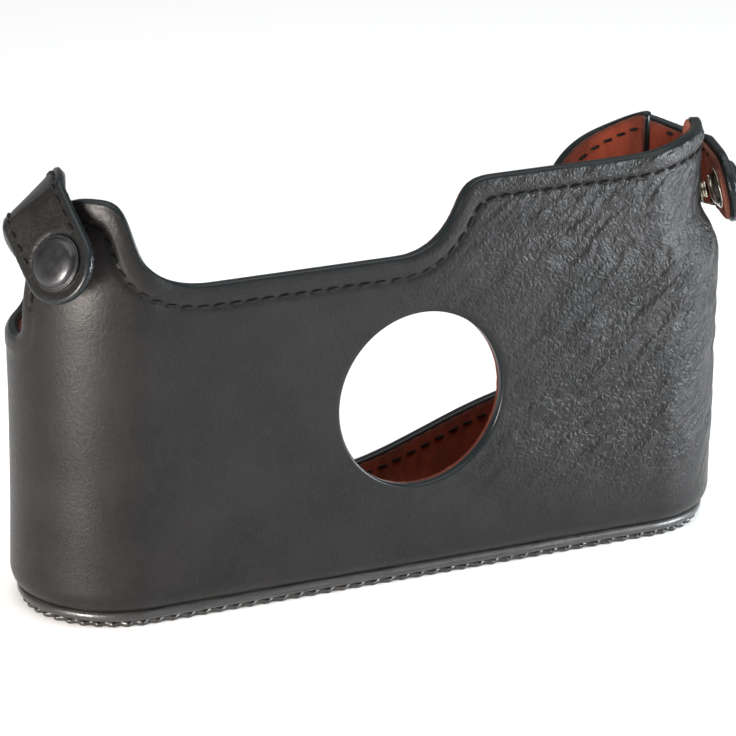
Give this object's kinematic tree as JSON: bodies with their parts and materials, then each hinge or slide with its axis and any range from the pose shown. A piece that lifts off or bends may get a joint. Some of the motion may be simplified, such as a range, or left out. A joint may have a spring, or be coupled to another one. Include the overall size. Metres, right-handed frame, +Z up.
{
  "type": "camera half case",
  "caption": "Lined leather lower half of an ever ready case for a rangefinder camera, with a round dial window, a lens cut-out and two snap tabs.",
  "frame": {"origin": "middle of the whole part's box, on the surface it stands on", "axes": "+X along the case, +Y from the back wall with the dial window to the front wall with the lens opening, +Z up"},
  "size_m": [0.1546, 0.043, 0.086],
  "materials": {
    "leather": "semi-matt black full-grain leather",
    "suede": "red-brown napped suede",
    "welt": "burnished black leather edge",
    "board": "compressed leather board",
    "thread": "waxed black thread",
    "snap_cap": "gunmetal black",
    "nickel": "aged nickel"
  },
  "bodies": {
    "case": {"sole_leather": "leather", "welt": "welt", "sole_board": "board", "wall_leather": "leather", "wall_lining": "suede", "floor_lining": "suede", "back_rim_thread": "thread", "front_rim_thread": "thread", "sole_thread": "thread", "left_strap_leather": "leather", "left_strap_lining": "suede", "left_snap_stud": "nickel", "left_stud_rivet": "nickel", "right_strap_leather": "leather", "right_strap_lining": "suede", "right_snap_stud": "nickel", "right_stud_rivet": "nickel"},
    "left_tab": {"left_tab_leather": "leather", "left_tab_lining": "suede", "left_tab_thread_upper": "thread", "left_tab_thread_lower": "thread", "left_snap_cap": "snap_cap", "left_snap_socket": "nickel"},
    "right_tab": {"right_tab_leather": "leather", "right_tab_lining": "suede", "right_tab_thread_upper": "thread", "right_tab_thread_lower": "thread", "right_snap_cap": "snap_cap", "right_snap_socket": "nickel"}
  },
  "joints": [
    {"name": "left_tab_crease", "type": "hinge", "parent": "case", "child": "left_tab", "pos_m": [-0.07321, -0.00519, 0.08075], "axis": [-0.5669, 0.4957, -0.658], "range_deg": [0, 105]},
    {"name": "right_tab_crease", "type": "hinge", "parent": "case", "child": "right_tab", "pos_m": [0.07572, 0.00192, 0.06719], "axis": [-0.2088, 0.0681, 0.9756], "range_deg": [-8.2, 100]}
  ]
}
